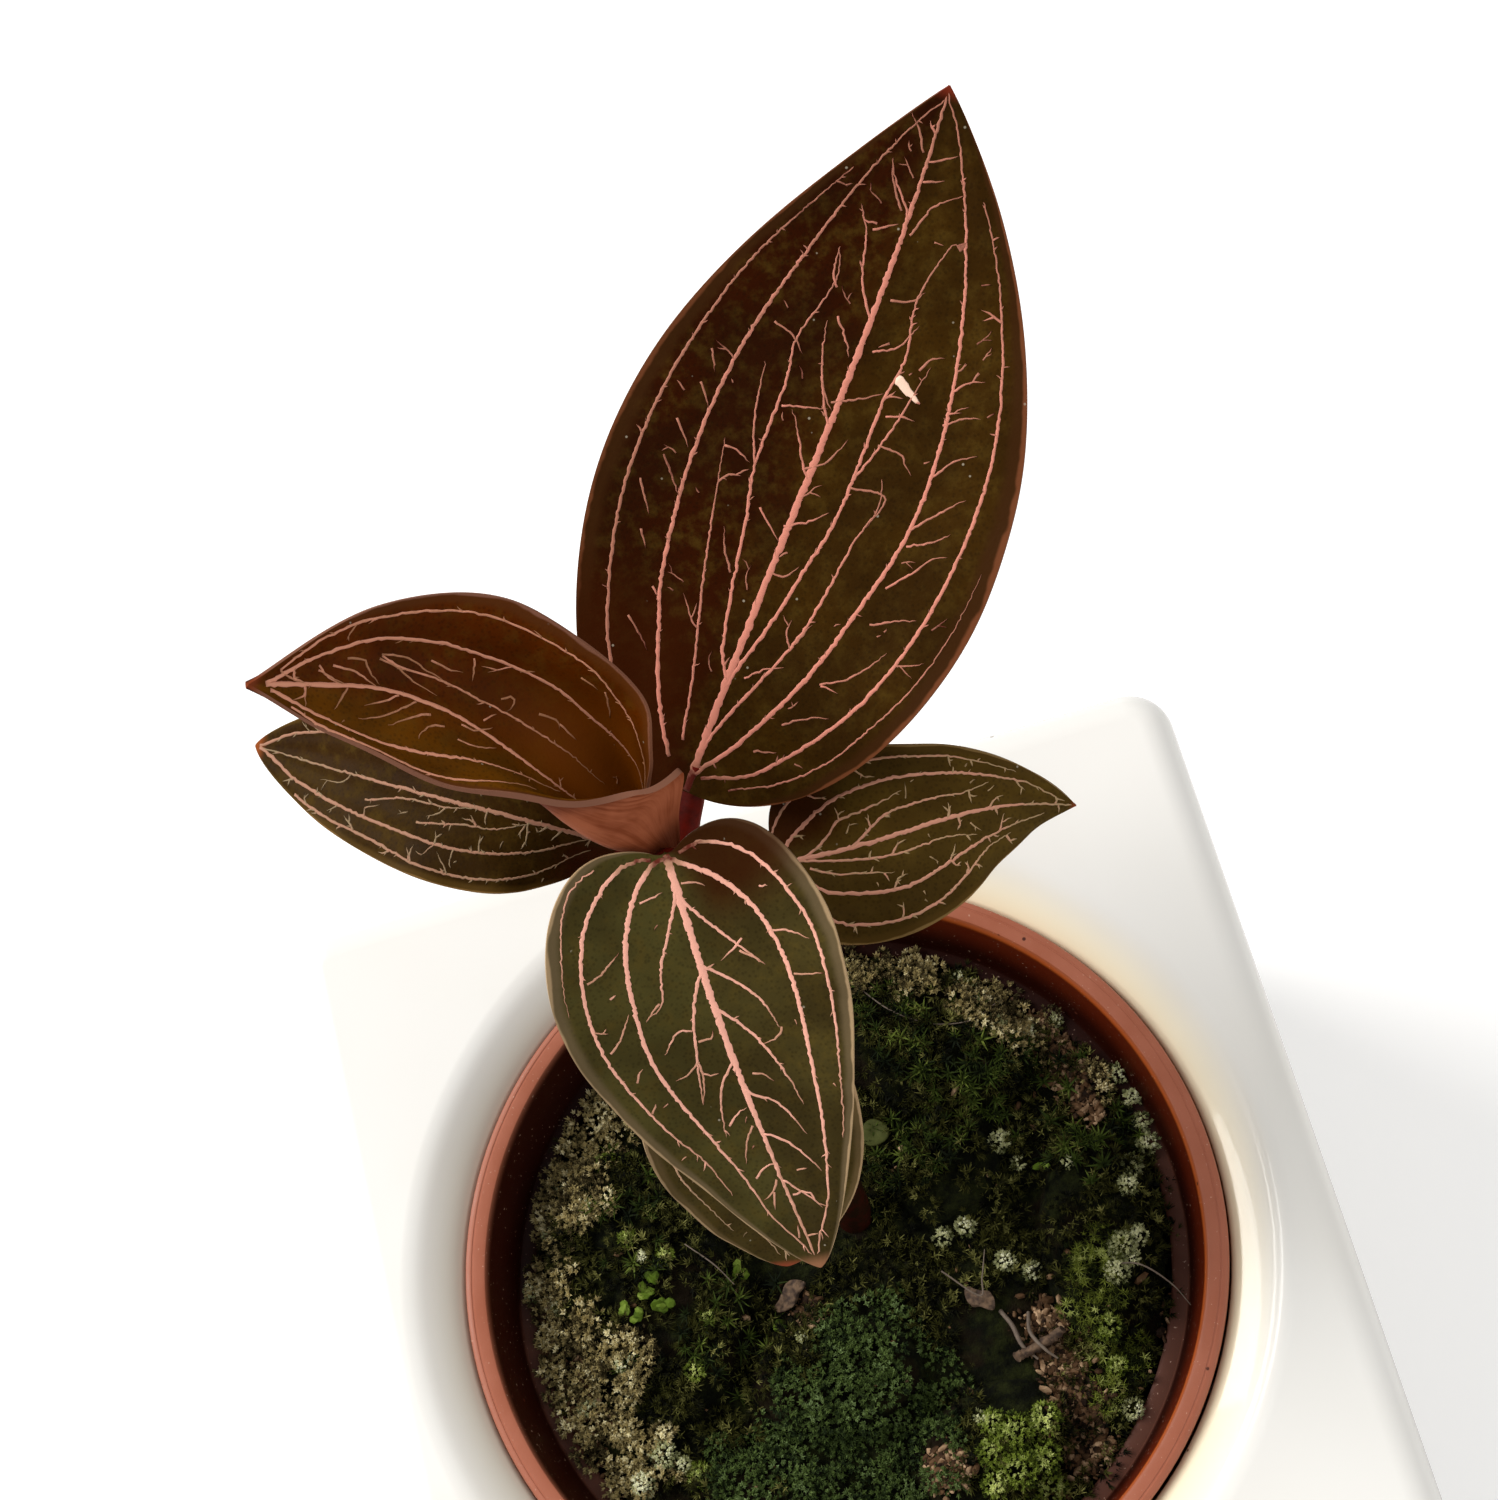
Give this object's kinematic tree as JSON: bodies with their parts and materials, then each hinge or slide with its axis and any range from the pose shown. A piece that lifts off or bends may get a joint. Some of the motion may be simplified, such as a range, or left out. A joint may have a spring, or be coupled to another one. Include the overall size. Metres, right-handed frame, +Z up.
{
  "type": "potted houseplant",
  "caption": "Small houseplant with veined dark leaves on a leaning stem, in a round moss-topped nursery pot that sits in a square glazed planter.",
  "frame": {"origin": "centre of the planter's flat underside", "axes": "+Z up out of the planter's opening; X and Y across the planter's four flat sides, with the plant leaning back towards +Y and -Y the near side"},
  "size_m": [0.102, 0.1262, 0.1719],
  "materials": {
    "white_glaze": "gloss",
    "terracotta_plastic": "satin",
    "dark_soil": "matte",
    "dark_moss": "matte",
    "moss_green": "matte",
    "stem_red_brown": "satin",
    "leaf_blade": "satin",
    "dry_wood": "matte",
    "seedling_green": "satin"
  },
  "bodies": {
    "root": {"outer_planter": "white_glaze", "nursery_pot": "terracotta_plastic", "soil": "dark_soil", "moss_mat": "dark_moss", "moss_cushion_left": "moss_green", "moss_cushion_front": "moss_green", "moss_cushion_near": "moss_green", "moss_cushion_bright": "moss_green", "moss_cushion_right": "moss_green", "moss_cushion_back": "moss_green", "moss_cushion_middle": "moss_green", "moss_cushion_far": "moss_green", "stem": "stem_red_brown", "leaf_large": "leaf_blade", "leaf_front": "leaf_blade", "leaf_right": "leaf_blade", "leaf_left": "leaf_blade", "leaf_under": "leaf_blade", "leaf_rolled": "leaf_blade", "stalk_large": "stem_red_brown", "stalk_front": "stem_red_brown", "stalk_right": "stem_red_brown", "stalk_left": "stem_red_brown", "stalk_under": "stem_red_brown", "twig": "dry_wood", "bark_chip_1": "dry_wood", "bark_chip_2": "dry_wood", "seedling_leaf_1": "seedling_green", "seedling_leaf_2": "seedling_green"}
  },
  "joints": []
}
